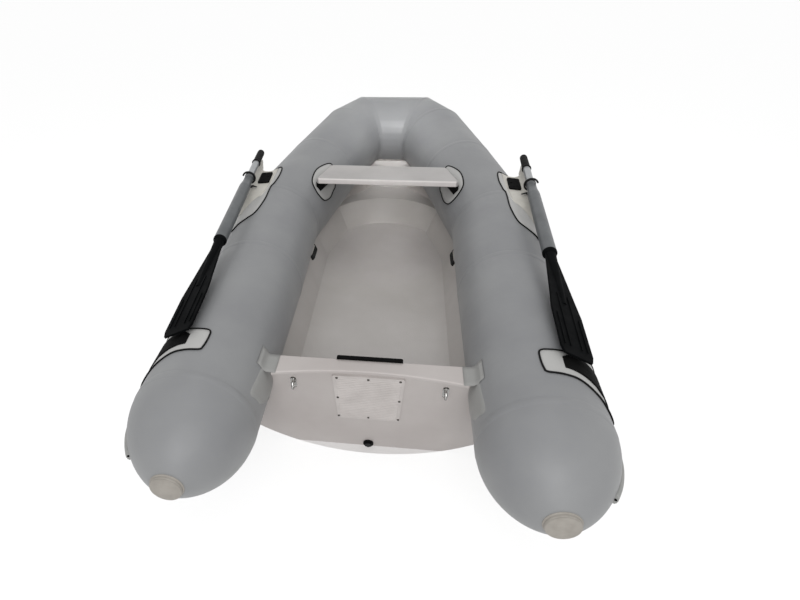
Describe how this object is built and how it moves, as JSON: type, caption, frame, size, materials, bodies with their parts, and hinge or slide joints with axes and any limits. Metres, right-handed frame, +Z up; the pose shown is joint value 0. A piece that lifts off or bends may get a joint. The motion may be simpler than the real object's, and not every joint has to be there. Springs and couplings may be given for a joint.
{
  "type": "rigid inflatable boat",
  "caption": "Small tender with grey inflated side tubes, moulded hull and deck, board seat, motor transom and stowed oars in swinging rowlocks.",
  "frame": {"origin": "centreline, at the light waterline, below the rear top edge of the transom", "axes": "+X to starboard, +Y forward to the bow, +Z up"},
  "size_m": [1.562, 2.986, 0.889],
  "materials": {
    "tube_fabric": "satin coated fabric",
    "patch_fabric": "satin coated fabric",
    "cap_plastic": "moulded",
    "hull_gelcoat": "gelcoat",
    "deck_gelcoat": "gelcoat",
    "transom_gelcoat": "gelcoat",
    "plate_plastic": "fine ribbed",
    "black_rubber": "matt",
    "black_webbing": "woven",
    "black_plastic": "moulded",
    "stainless": "polished",
    "seat_plastic": "painted board",
    "strake_rubber": "ribbed",
    "rowlock_moulding": "moulded",
    "oar_alloy": "anodised",
    "oar_sleeve_plastic": "satin"
  },
  "bodies": {
    "boat": {"bow_tube": "tube_fabric", "cone_cap_port": "cap_plastic", "cone_cap_starboard": "cap_plastic", "deck_liner": "deck_gelcoat", "drain_plug": "black_plastic", "holder_pad_port": "patch_fabric", "holder_pad_starboard": "patch_fabric", "holder_strap_port": "black_webbing", "holder_strap_starboard": "black_webbing", "hull": "hull_gelcoat", "motor_pad": "black_rubber", "motor_plate": "plate_plastic", "rowlock_base_port": "rowlock_moulding", "rowlock_base_starboard": "rowlock_moulding", "rowlock_insert_port": "black_rubber", "rowlock_insert_starboard": "black_rubber", "rowlock_pad_port": "patch_fabric", "rowlock_pad_starboard": "patch_fabric", "rub_strake_port": "strake_rubber", "rub_strake_starboard": "strake_rubber", "seat": "seat_plastic", "seat_bracket_port": "black_webbing", "seat_bracket_starboard": "black_webbing", "seat_pad_port": "patch_fabric", "seat_pad_starboard": "patch_fabric", "side_tube_port": "tube_fabric", "side_tube_starboard": "tube_fabric", "strap_loop_port": "black_webbing", "strap_loop_starboard": "black_webbing", "tow_eye": "stainless", "transom": "transom_gelcoat", "transom_capping": "transom_gelcoat", "transom_gusset_port": "patch_fabric", "transom_gusset_starboard": "patch_fabric", "u_bolt_port": "stainless", "u_bolt_starboard": "stainless"},
    "oar_port": {"oar_blade_port": "black_plastic", "oar_grip_port": "black_rubber", "oar_shaft_port": "oar_alloy", "oar_sleeve_port": "oar_sleeve_plastic", "rowlock_port": "black_plastic"},
    "oar_starboard": {"oar_blade_starboard": "black_plastic", "oar_grip_starboard": "black_rubber", "oar_shaft_starboard": "oar_alloy", "oar_sleeve_starboard": "oar_sleeve_plastic", "rowlock_starboard": "black_plastic"}
  },
  "joints": [
    {"name": "oar_starboard_swing", "type": "hinge", "parent": "boat", "child": "oar_starboard", "pos_m": [0.699, 1.175, 0.684], "axis": [0, 0, 1], "range_deg": [0, 100]},
    {"name": "oar_port_swing", "type": "hinge", "parent": "boat", "child": "oar_port", "pos_m": [-0.699, 1.175, 0.684], "axis": [0, 0, -1], "range_deg": [0, 100]}
  ]
}
